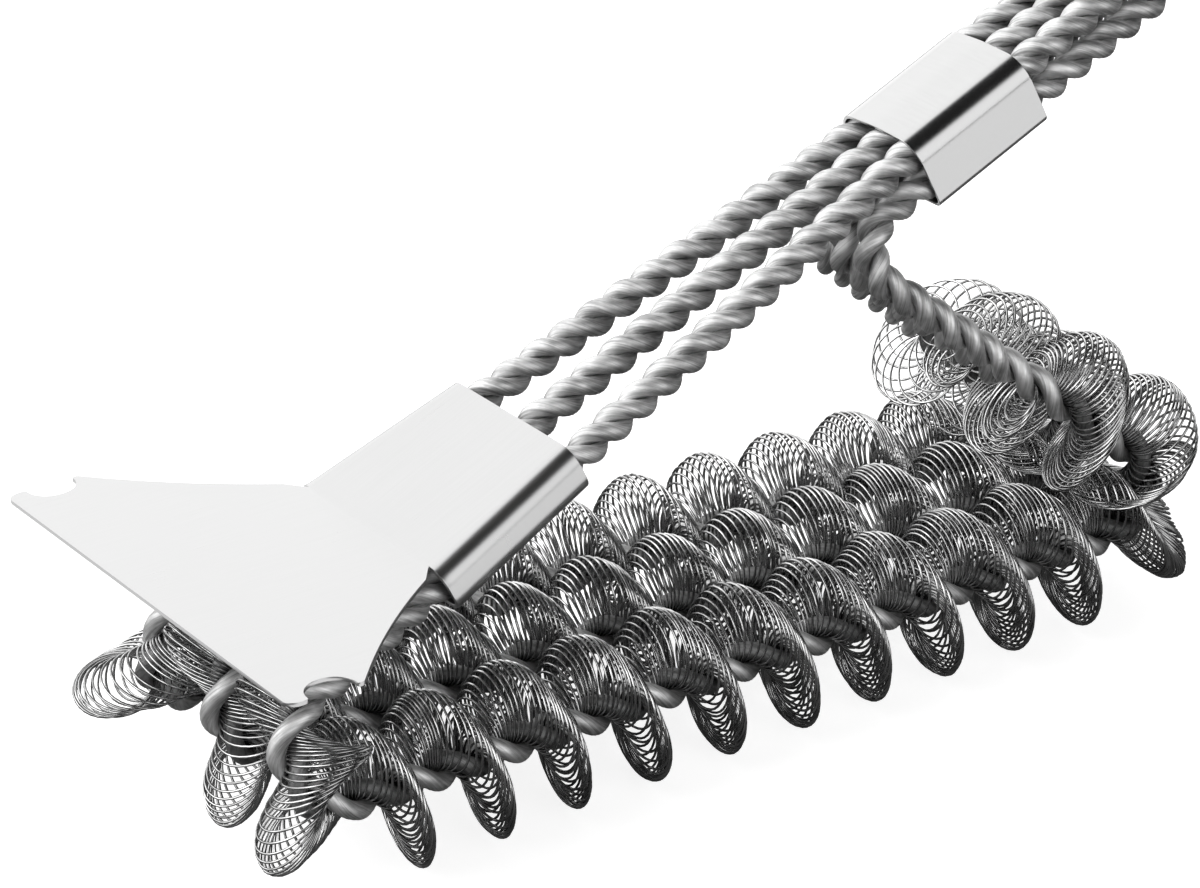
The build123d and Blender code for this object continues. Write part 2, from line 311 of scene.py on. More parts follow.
@dataclass(frozen=True)
class SpringWire(Finish):
    """Bright hard-drawn spring wire."""

    light: float = 0.62
    dark: float = 0.22
    gloss: float = 0.12
    tone_scale: tuple[float, float, float] = (160.0, 2.0, 1.0)

    def dress(self, bench: NodeBench) -> dict[str, Any]:
        """Slow changes in brightness and gloss along the wire.

        Args:
            bench: The material's bench.

        Returns:
            Values and links by socket name.
        """
        tone = bench.noise(bench.along(self.tone_scale), 1.0, detail=2.0)
        lighter = tone.above(level=0.5, soft=0.2)
        colour = bench.mixed(lighter, grey(self.dark), grey(self.light))
        return {
            "Base Color": colour,
            "Metallic": 1.0,
            "Roughness": self.gloss + tone * 0.08,
        }


@dataclass(frozen=True)
class BrushedSheet(Finish):
    """Stainless sheet brushed along one axis, with faint handling marks."""

    stretch: tuple[float, float, float] = (3000.0, 60.0, 60.0)
    tone: float = 0.46
    gloss: float = 0.23
    line_share: float = 0.95            # share of the tone that the brushed lines keep
    cloud_scale: float = 45.0
    relief: float = 0.02 * MM

    def dress(self, bench: NodeBench) -> dict[str, Any]:
        """Fine parallel brushing with a little cloudiness.

        Args:
            bench: The material's bench.

        Returns:
            Values and links by socket name.
        """
        lines = bench.noise(bench.place(self.stretch), 1.0, rough=0.6)
        clouds = bench.noise(bench.place(), self.cloud_scale, detail=2.0)
        lighter = (lines * 0.7 + clouds * 0.3).above(level=0.5, soft=0.25)
        colour = bench.mixed(lighter, grey(self.tone * self.line_share), grey(self.tone))
        return {
            "Base Color": colour,
            "Metallic": 1.0,
            "Roughness": self.gloss + lines * 0.08 + clouds * 0.05,
            "Normal": bench.bump(lines, strength=0.12, distance=self.relief),
        }


@dataclass(frozen=True)
class MouldedPlastic(Finish):
    """Moulded plastic with a fine spark-eroded texture."""

    colour: tuple[float, float, float] = (0.018, 0.018, 0.020)
    gloss: float = 0.42
    grain: float = 1900.0
    rubbed_scale: float = 70.0
    rubbed_gain: float = 1.5
    relief: float = 0.08 * MM

    def dress(self, bench: NodeBench) -> dict[str, Any]:
        """Fine grain in the gloss and the surface, with rubbed patches.

        Args:
            bench: The material's bench.

        Returns:
            Values and links by socket name.
        """
        grain = bench.noise(bench.place(), self.grain, rough=0.6)
        rubbed = bench.noise(bench.place(), self.rubbed_scale)
        lighter = tuple(part * self.rubbed_gain for part in self.colour)
        # Here the mask is random rubbed wear on the plastic only; it holds no painted shade.
        wear_and_painted_shade = rubbed.above(level=0.55, soft=0.2)
        return {
            "Base Color": bench.mixed(wear_and_painted_shade, (*self.colour, 1.0), (*lighter, 1.0)),
            "Roughness": self.gloss + grain * 0.16 - rubbed * 0.08,
            "Normal": bench.bump(grain, strength=0.3, distance=self.relief),
        }


HEAVY_WIRE = DrawnWire("satin drawn wire")
COIL_WIRE = SpringWire("bright spring wire")
BLADE_SHEET = BrushedSheet("brushed blade sheet")
BAND_SHEET = BrushedSheet("polished band", (60.0, 3000.0, 3000.0), tone=0.46, gloss=0.14)
COLLAR_SHEET = BrushedSheet("collar sheet", (60.0, 3000.0, 3000.0), tone=0.42, gloss=0.22)
GRIP_PLASTIC = MouldedPlastic("black grip plastic")
GRIP_RUBBER = MouldedPlastic("grey grip rubber", (0.075, 0.077, 0.080), gloss=0.68, grain=1100.0)
ANCHOR_PLASTIC = MouldedPlastic("anchor plastic", (0.25, 0.25, 0.24), gloss=0.5, grain=1500.0)
SCREW_STEEL = BrushedSheet("screw steel", (400.0, 400.0, 400.0), tone=0.32, gloss=0.3)
LOOP_WIRE = BrushedSheet("loop wire steel", (900.0, 900.0, 900.0), tone=0.40, gloss=0.24)


# ---- Mesh tools ----
def unit(rows: np.ndarray) -> np.ndarray:
    """Each row as a unit vector."""
    return rows / np.linalg.norm(rows, axis=-1, keepdims=True)


def gaps(line: np.ndarray) -> np.ndarray:
    """Distance from each point of a line to the next."""
    return np.linalg.norm(np.diff(line, axis=0), axis=1)


def lengths(line: np.ndarray) -> np.ndarray:
    """Distance along a line at each of its points."""
    return np.concatenate([[0.0], np.cumsum(gaps(line))])


def without_doubles(line: np.ndarray) -> np.ndarray:
    """A line without the points that repeat the one before."""
    return line[np.concatenate([[True], gaps(line) > SAME_POINT])]


def new_piece(name: str, points: np.ndarray, faces: list[list[int]],
              uv: np.ndarray | None = None) -> bpy.types.Object:
    """Makes a smooth mesh object at the origin.

    Args:
        name: The piece's name.
        points: Its vertices in metres.
        faces: Its faces as vertex numbers.
        uv: UV coordinates, one for each face corner, or None.

    Returns:
        The object.
    """
    mesh = bpy.data.meshes.new(name)
    mesh.from_pydata(points.tolist(), [], faces)
    mesh.polygons.foreach_set("use_smooth", [True] * len(mesh.polygons))
    if uv is not None:
        mesh.uv_layers.new(name="wire").data.foreach_set("uv", uv.ravel())
    mesh.update()
    made = bpy.data.objects.new(name, mesh)
    bpy.context.scene.collection.objects.link(made)
    return made


def tube(name: str, line: np.ndarray, out: np.ndarray, radius: float,
         sides: int) -> bpy.types.Object:
    """Sweeps a round wire along a line and closes its ends.

    Args:
        name: The piece's name.
        line: Points of the centre line.
        out: A direction at each point, which sets where the section starts.
        radius: The wire's radius.
        sides: Number of the section's sides.

    Returns:
        The wire's object, with a UV map in metres along and turns round.
    """
    ahead = unit(np.gradient(line, axis=0))
    across = unit(out - (out * ahead).sum(1, keepdims=True) * ahead)
    third = np.cross(ahead, across)
    turn = np.arange(sides) / sides * 2 * math.pi
    ring = (np.cos(turn)[None, :, None] * across[:, None, :]
            + np.sin(turn)[None, :, None] * third[:, None, :])
    points = line[:, None, :] + ring * radius
    count = len(line)
    here = np.arange(count - 1)[:, None] * sides
    k = np.arange(sides)[None, :]
    after = (k + 1) % sides
    quads = np.stack([here + k, here + after, here + sides + after, here + sides + k], 2)
    faces = quads.reshape(-1, 4).tolist()
    faces.append(list(range(sides))[::-1])
    faces.append([(count - 1) * sides + i for i in range(sides)])
    length = lengths(line)
    u = np.broadcast_to(np.stack([length[:-1], length[:-1], length[1:], length[1:]], 1)[:, None],
                        (count - 1, sides, 4))
    v = np.broadcast_to(np.stack([k[0], k[0] + 1, k[0] + 1, k[0]], 1)[None] / sides,
                        (count - 1, sides, 4))
    uv = np.stack([u, v], 3).reshape(-1, 2)
    uv = np.concatenate([uv, np.zeros((2 * sides, 2))])
    return new_piece(name, points.reshape(-1, 3), faces, uv)


class Maker:
    """Shapes one piece with Blender's own operators, as by hand."""

    def __init__(self, name: str) -> None:
        """Remembers the piece's name."""
        self.name = name
        self.piece: bpy.types.Object | None = None

    def taken(self) -> None:
        """Takes up the new primitive as the piece, with its place in its mesh."""
        self.piece = bpy.context.object
        self.piece.name = self.piece.data.name = self.name
        bpy.ops.object.transform_apply(location=True, rotation=True, scale=True)

    def rod(self, radius: float, length: float, at: tuple[float, float, float],
            turn: tuple[float, float, float], sides: int) -> "Maker":
        """Starts from a cylinder.

        Args:
            radius: Its radius.
            length: Its length.
            at: Its middle.
            turn: Its rotation, from a cylinder along Z.
            sides: Its number of sides.

        Returns:
            The maker.
        """
        bpy.ops.object.select_all(action="DESELECT")
        bpy.ops.mesh.primitive_cylinder_add(vertices=sides, radius=radius, depth=length,
                                            location=at, rotation=turn)
        self.taken()
        return self

    def take(self, piece: bpy.types.Object) -> "Maker":
        """Goes on with a mesh that is there already."""
        self.piece = piece
        return self

    def ready(self) -> None:
        """Selects only the piece and makes it active."""
        if bpy.context.object and bpy.context.object.mode != "OBJECT":
            bpy.ops.object.mode_set(mode="OBJECT")
        bpy.ops.object.select_all(action="DESELECT")
        bpy.context.view_layer.objects.active = self.piece
        self.piece.select_set(True)

    def weld(self) -> "Maker":
        """Joins the corners that lie on one point.

        Returns:
            The maker.
        """
        self.ready()
        bpy.ops.object.mode_set(mode="EDIT")
        bpy.ops.mesh.select_mode(type="VERT")
        bpy.ops.mesh.select_all(action="SELECT")
        bpy.ops.mesh.remove_doubles(threshold=SAME_POINT)
        bpy.ops.object.mode_set(mode="OBJECT")
        return self

    def modify(self, kind: str, **settings: Any) -> "Maker":
        """Adds a modifier and applies it.

        Args:
            kind: The modifier's type.
            **settings: Its properties.

        Returns:
            The maker.
        """
        self.ready()
        modifier = self.piece.modifiers.new(kind.title(), kind)
        for name, value in settings.items():
            setattr(modifier, name, value)
        bpy.ops.object.modifier_apply(modifier=modifier.name)
        return self

    def cut(self, cutter: "Maker") -> "Maker":
        """Cuts another maker's piece out of this one, and throws that one away.

        Args:
            cutter: The maker whose piece cuts.

        Returns:
            The maker.
        """
        self.modify("BOOLEAN", object=cutter.piece, operation="DIFFERENCE", solver="EXACT")
        bpy.data.objects.remove(cutter.piece)
        return self

    def sheet(self, thick: float) -> "Maker":
        """Gives a skin its thickness, inwards."""
        return self.modify("SOLIDIFY", thickness=thick, offset=-1.0, use_even_offset=True)

    def soften(self, width: float, angle: float = 50.0) -> "Maker":
        """Rounds every edge that is sharper than an angle in degrees."""
        return self.modify("BEVEL", width=width, segments=2, limit_method="ANGLE",
                           angle_limit=math.radians(angle))

    def finished(self, angle: float = 30.0) -> bpy.types.Object:
        """Shades the piece smooth but for its sharp edges.

        Args:
            angle: The sharpest smooth edge, in degrees.

        Returns:
            The piece.
        """
        self.ready()
        bpy.ops.object.shade_smooth_by_angle(angle=math.radians(angle))
        self.modify("WEIGHTED_NORMAL", keep_sharp=True)
        return self.piece

    def to_handle(self) -> "Maker":
        """Turns a piece made in the handle's own frame into the part's frame."""
        self.piece.data.transform(HANDLE.turn)
        return self


# ---- The brush's line ----
class Side(Enum):
    """The three loops, by their side of the brush."""

    LEFT = -1
    MIDDLE = 0
    RIGHT = 1

    @property
    def word(self) -> str:
        """The side's word in piece names."""
        return self.name.lower()


@dataclass(frozen=True)
class HandleLine:
    """The line of the top strands, which rises from the scraper to the hanging loop."""

    rise: float = math.radians(23.7)
    strand_height: float = 27.2 * MM
    coil_radius: float = 14.9 * MM
    blade_front: float = -38.2 * MM
    strand_pitch: float = 7.75 * MM
    layer_pitch: float = 6.65 * MM

    @property
    def shift(self) -> np.ndarray:
        """Move from the drawing's frame, which starts at the rows' axis, to the part's."""
        low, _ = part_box("scraper")
        return np.array([0.0, low.y - self.blade_front, self.coil_radius])

    @property
    def turn(self) -> Matrix:
        """Matrix from the handle's own frame, Y along it and Z up from it, to the part's."""
        start = Vector(self.shift) + Vector((0, 0, self.strand_height))
        return Matrix.Translation(start) @ Matrix.Rotation(self.rise, 4, "X")

    def at(self, x: float, along: float, up: float = 0.0) -> np.ndarray:
        """Point by distances in metres in the drawing's frame.

        Args:
            x: Distance to the side.
            along: Distance along the line from its crossing of the Z axis.
            up: Distance square to the line.

        Returns:
            The point.
        """
        c, s = math.cos(self.rise), math.sin(self.rise)
        return np.array([x, along * c - up * s, self.strand_height + along * s + up * c])


HANDLE = HandleLine()


@dataclass(frozen=True)
class Route:
    """A strand's centre line: straight runs joined by arcs."""

    corners: list[np.ndarray]
    radii: list[float]
    step: float = 0.25 * MM
    fewest: int = 8                     # straight bits in the shortest arc

    def drawn(self) -> tuple[np.ndarray, list[tuple[float, float]]]:
        """Walks the corners.

        Returns:
            Points along the line, and the distances at which each arc starts and ends.
        """
        points = [self.corners[0]]
        marks: list[tuple[int, int]] = []
        for before, corner, after, radius in zip(
                self.corners, self.corners[1:], self.corners[2:], self.radii):
            back, on = unit(before - corner), unit(after - corner)
            half = math.acos(float(back @ on)) / 2
            start = corner + back * radius / math.tan(half)
            centre = corner + unit(back + on) * radius / math.sin(half)
            arm, turn = start - centre, math.pi - 2 * half
            pieces = max(self.fewest, int(turn * radius / self.step))
            first = len(points)
            for k in range(pieces + 1):
                angle = turn * k / pieces
                points.append(centre + arm * math.cos(angle) - back * radius * math.sin(angle))
            marks.append((first, len(points) - 1))
        points.append(self.corners[-1])
        line = np.array(points)
        run = lengths(line)
        return line, [(run[a], run[b]) for a, b in marks]

    def even(self) -> tuple[np.ndarray, np.ndarray]:
        """The line at even steps.

        Returns:
            Distances along it, and a point at each.
        """
        line, _ = self.drawn()
        run = lengths(line)
        places = np.linspace(0.0, run[-1], int(run[-1] / self.step) + 1)
        return places, np.stack([np.interp(places, run, line[:, i]) for i in range(3)], 1)


class Drift:
    """Smooth random changes along a spring, drawn one after another from one seed."""

    def __init__(self, ring: np.ndarray, rings: int, seed: int) -> None:
        """Starts the draws.

        Args:
            ring: Each point's place, counted in rings.
            rings: Number of rings.
            seed: The draws' seed.
        """
        self.ring = ring
        self.rings = rings
        self.draws = np.random.default_rng(seed)

    def added(self, value: Any, changes: tuple[tuple[float, float], ...]) -> np.ndarray:
        """Adds changes to a value.

        Args:
            value: A number or one for each point.
            changes: For each change, the rings between its knots and its deviation.

        Returns:
            The value at each point.
        """
        for spacing, size in changes:
            knots = self.draws.normal(0.0, size, int(self.rings / spacing) + 3)
            value = value + np.interp(self.ring / spacing, np.arange(len(knots)), knots)
        return value


@dataclass
class WireLoop:
    """One closed loop: two heavy wires twisted together, with fine spring wound on its row."""

    side: Side
    lobe_at: float                      # row distance at which a coil lobe points up
    leg_loosening: float                # share of rings that the coil's end on the leg lacks
    wire_radius: float = 1.65 * MM
    wire_sides: int = 16
    steps_per_pitch: int = 26
    bare_pitch: float = 12.4 * MM
    coil_pitch: float = 16.0 * MM
    front_pitch: float = 22.0 * MM
    bare_offset: float = 1.65 * MM
    coil_offset: float = 1.88 * MM
    spring_radius: float = 0.25 * MM
    ring_radius: float = 7.25 * MM
    rings_per_turn: float = 38.0
    bend_crowding: float = 0.45
    front_crowding: float = -0.3
    ring_steps: int = 30
    ring_tilt: float = math.radians(1.0)
    widest_ring: float = 7.33 * MM
    end_rings: float = 4.0              # rings over which the spring's ends grow
    end_size: float = 0.5               # share of its size with which it starts
    overrun: float = 1.0 * MM
    place_drift: tuple[tuple[float, float], ...] = ((6.0, 0.35 * MM), (1.0, 0.03 * MM))
    twist_drift: tuple[tuple[float, float], ...] = (
        (4.0, math.radians(2.0)), (1.0, math.radians(0.6)))
    tilt_drift: tuple[tuple[float, float], ...] = (
        (3.0, math.radians(2.0)), (1.0, math.radians(0.7)))
    size_drift: tuple[tuple[float, float], ...] = ((5.0, 0.012), (1.0, 0.004))
    spring_sides: int = 5
    row_half_spread: float = 26.25 * MM
    row_toe_in: float = math.radians(1.375)
    front_reach: float = 25.5 * MM
    rear_reach: float = 157.0 * MM
    leg_base: float = 13.05 * MM
    leg_rise: float = math.radians(42.0)
    coil_leg: float = 25.0 * MM
    coil_start: float = 1.2 * MM
    coil_swell: float = 5.0 * MM        # run over which the strand opens for its coil
    bend_blur: int = 25
    loosening_run: float = 6.0 * MM
    tally_points: int = 2000
    ferrule_start: float = 126.8 * MM
    strand_end: float = 265.9 * MM
    fan_slope: float = 0.09604
    radii: tuple[float, ...] = (60.0, 9.6, 9.6, 9.0, 9.0, 8.0)
    seed: int = 7
    grid: dict[str, np.ndarray] = field(default_factory=dict)

    def row_x(self, y: float) -> float:
        """The row's distance to the side at a distance along it."""
        return self.side.value * (self.row_half_spread - math.tan(self.row_toe_in) * y)

    def leg_top(self) -> tuple[float, float]:
        """Where the climbing leg meets the lower layer of strands.

        Returns:
            Its distance along and its height in the drawing's frame.
        """
        slope, climb = math.tan(HANDLE.rise), math.tan(self.leg_rise)
        layer = HANDLE.strand_height - HANDLE.layer_pitch / math.cos(HANDLE.rise)
        y = (self.leg_base + climb * self.rear_reach - layer) / (climb + slope)
        return y, layer + slope * y

    def route(self) -> Route:
        """The loop's route in the part's frame.

        Returns:
            The route from the grip round to the grip again.
        """
        side, pitch = self.side.value, HANDLE.strand_pitch
        run = -self.front_reach / math.cos(HANDLE.rise)
        spread = pitch + self.fan_slope * (self.ferrule_start - run)
        top_y, top_z = self.leg_top()
        front_x, rear_x = self.row_x(-self.front_reach), self.row_x(self.rear_reach)
        corners = [
            HANDLE.at(side * pitch, self.strand_end),
            HANDLE.at(side * pitch, self.ferrule_start),
            HANDLE.at(side * spread, run),
            np.array([front_x, -self.front_reach, 0.0]),
            np.array([rear_x, self.rear_reach, 0.0]),
            np.array([rear_x, self.rear_reach, self.leg_base]),
            np.array([side * pitch, top_y, top_z]),
            HANDLE.at(side * pitch, self.strand_end, -HANDLE.layer_pitch),
        ]
        radii = [radius * MM for radius in self.radii]
        if self.side is Side.MIDDLE:
            del corners[1], radii[0]
        return Route([corner + HANDLE.shift for corner in corners], radii)

    def measure(self) -> None:
        """Fills the grid: distance, centre line, frame, twist angle and the coil's ends."""
        route = self.route()
        run, centre = route.even()
        _, arcs = route.drawn()
        ahead = unit(np.gradient(centre, axis=0))
        to_side = np.array([1.0, 0.0, 0.0]) - ahead[:, :1] * ahead
        first = unit(to_side)
        second = np.cross(ahead, first)
        bends = arcs[-5:-1]                 # the front's two arcs, then the rear's two
        row_start = bends[1][1]
        coil_from, coil_to = bends[0][0] + self.coil_start, bends[-1][1] + self.coil_leg
        bend = np.zeros(len(run))
        for arc_from, arc_to in bends:
            bend = np.maximum(bend, ((run > arc_from) & (run < arc_to)).astype(float))
        soft = np.hanning(self.bend_blur)
        bend = np.convolve(bend, soft / soft.sum(), mode="same")
        depth = np.minimum(run - coil_from, coil_to - run)
        inside = np.clip(depth / self.coil_swell + 0.5, 0, 1)
        inside = inside * inside * (3 - 2 * inside)
        pitch = self.bare_pitch + (self.coil_pitch - self.bare_pitch) * inside
        pitch = np.where(run < row_start, pitch + (self.front_pitch - self.coil_pitch)
                         * bend * inside, pitch)
        twist = np.concatenate([[0.0], np.cumsum(np.diff(run) * 2 * math.pi / pitch[:-1])])
        on_row = np.interp(row_start, run, centre[:, 1])
        lobe = self.lobe_at + HANDLE.shift[1]
        at_lobe = row_start + (lobe - on_row) / math.cos(self.row_toe_in)
        while at_lobe < row_start:
            at_lobe += self.coil_pitch
        twist += -math.pi / 2 - np.interp(at_lobe, run, twist)
        self.grid = {"run": run, "centre": centre, "ahead": ahead, "first": first,
                     "second": second, "twist": twist, "inside": inside, "bend": bend,
                     "coil": np.array([coil_from, coil_to])}

    def read(self, run: np.ndarray) -> tuple[np.ndarray, ...]:
        """Reads the grid at distances along the strand.

        Args:
            run: The distances.

        Returns:
            Centre, direction ahead, first and second cross directions, and twist angle.
        """
        grid = self.grid
        rows = [np.stack([np.interp(run, grid["run"], grid[key][:, i]) for i in range(3)], 1)
                for key in ("centre", "ahead", "first", "second")]
        return (*rows, np.interp(run, grid["run"], grid["twist"]))

    def heavy_wire(self, letter: str, sign: int) -> bpy.types.Object:
        """One of the two heavy wires.

        Args:
            letter: "a" for the wire inside the coil's rings, "b" for the other.
            sign: 1 on the lobes' side of the strand, -1 on the other.

        Returns:
            The wire's object.
        """
        run = np.arange(0.0, self.grid["run"][-1], self.bare_pitch / self.steps_per_pitch)
        centre, _, first, second, twist = self.read(run)
        out = np.cos(twist)[:, None] * first + np.sin(twist)[:, None] * second
        inside = np.interp(run, self.grid["run"], self.grid["inside"])
        offset = self.bare_offset + (self.coil_offset - self.bare_offset) * inside
        line = centre + sign * offset[:, None] * out
        name = f"{self.side.word}_twisted_wire_{letter}"
        return tube(name, line, sign * out, self.wire_radius, self.wire_sides)

    def coil_shaded_finish(self) -> DrawnWire:
        """The finish of the wire that runs inside the rings, with painted shade along the coil
        where the rings cover it.

        Returns:
            The finish.
        """
        stretch = math.hypot(1.0, 2 * math.pi * self.coil_offset / self.coil_pitch)
        bare = math.hypot(1.0, 2 * math.pi * self.bare_offset / self.bare_pitch)
        start, end = self.grid["coil"]
        return DrawnWire(f"{self.side.word} wire under its coil", wear_and_painted_shade=(
            start * bare, start * bare + (end - start) * stretch))

    def spring(self) -> bpy.types.Object:
        """The fine spring, wound in rings that pass through the strand's axis.

        Returns:
            The spring's object.
        """
        start, end = self.grid["coil"]
        fine = np.linspace(start, end, self.tally_points)
        bend = np.interp(fine, self.grid["run"], self.grid["bend"])
        crowd = 1 + bend * np.where(fine < (start + end) / 2, self.front_crowding,
                                    self.bend_crowding)
        crowd *= 1 - self.leg_loosening * np.clip(
            (fine - end + self.coil_leg) / self.loosening_run, 0, 1)
        tally = np.concatenate([[0.0], np.cumsum((crowd[1:] + crowd[:-1]) / 2)])
        tally *= (end - start) / (len(fine) - 1) / self.coil_pitch * self.rings_per_turn
        rings = int(tally[-1])
        count = rings * self.ring_steps + 1
        ring = np.arange(count) / (count - 1) * rings
        angle = ring * 2 * math.pi
        drift = Drift(ring, rings, self.seed + self.side.value)
        run = drift.added(np.interp(ring, tally * rings / tally[-1], fine), self.place_drift)
        run = np.clip(run, start - self.overrun, end + self.overrun)
        centre, ahead, first, second, twist = self.read(run)
        twist = drift.added(twist, self.twist_drift)
        tilt = drift.added(self.ring_tilt, self.tilt_drift)
        radius = self.ring_radius * drift.added(1.0, self.size_drift)
        from_end = np.clip(np.minimum(ring, rings - ring) / self.end_rings, 0, 1)
        radius = np.minimum(radius, self.widest_ring) * (
            self.end_size + (1 - self.end_size) * from_end)
        out = np.cos(twist)[:, None] * first + np.sin(twist)[:, None] * second
        aside = -np.sin(twist)[:, None] * first + np.cos(twist)[:, None] * second
        lean = np.cos(tilt)[:, None] * aside - np.sin(tilt)[:, None] * ahead
        line = (centre + (radius * (1 - np.cos(angle)))[:, None] * out
                + (radius * np.sin(angle))[:, None] * lean)
        outward = -np.cos(angle)[:, None] * out + np.sin(angle)[:, None] * lean
        return tube(f"{self.side.word}_spring", line, outward, self.spring_radius,
                    self.spring_sides)

    def build(self) -> None:
        """Makes the loop's three pieces and stands them for the CAD nodes."""
        self.measure()
        for letter, sign in (("a", 1), ("b", -1)):
            wire = self.heavy_wire(letter, sign)
            lit_group("wires").objects.link(wire)
            # Wire a, inside the coil's rings, gets painted shade along the coil; wire b keeps the
            # plain finish.
            finish = HEAVY_WIRE if letter == "b" else self.coil_shaded_finish()
            settle(wire, finish, BRUSH, "heavy_wire", f"{self.side.word}_wire_{letter}")
        spring = self.spring()
        settle(spring, COIL_WIRE, BRUSH, "spring_wire", f"{self.side.word}_coil")
        lit_group("springs").objects.link(spring)


def lit_group(name: str) -> bpy.types.Collection:
    """The group of pieces that a soft box lights, made at its first use."""
    return bpy.data.collections.get(name) or bpy.data.collections.new(name)


def settle(piece: bpy.types.Object, finish: Finish, body: str, slot: str, *nodes: str) -> None:
    """Dresses a finished piece, puts it on its body and reports it.

    Args:
        piece: The piece.
        finish: Its finish.
        body: The body that it rides on.
        slot: The record's material slot.
        nodes: The CAD nodes that it stands for.
    """
    piece.data.materials.clear()
    piece.data.materials.append(finish.material())
    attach(piece, body)
    if nodes:
        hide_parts(*nodes)
    log.info("%s: %d faces", piece.name, len(piece.data.polygons))


def dress_node(node: str, finish: Finish) -> None:
    """Gives a CAD node that stays its finish.

    Args:
        node: The node's name.
        finish: Its finish.
    """
    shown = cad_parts[node]
    shown.data.materials.clear()
    shown.data.materials.append(finish.material())
    log.info("%s: dressed as %s", node, finish.name)


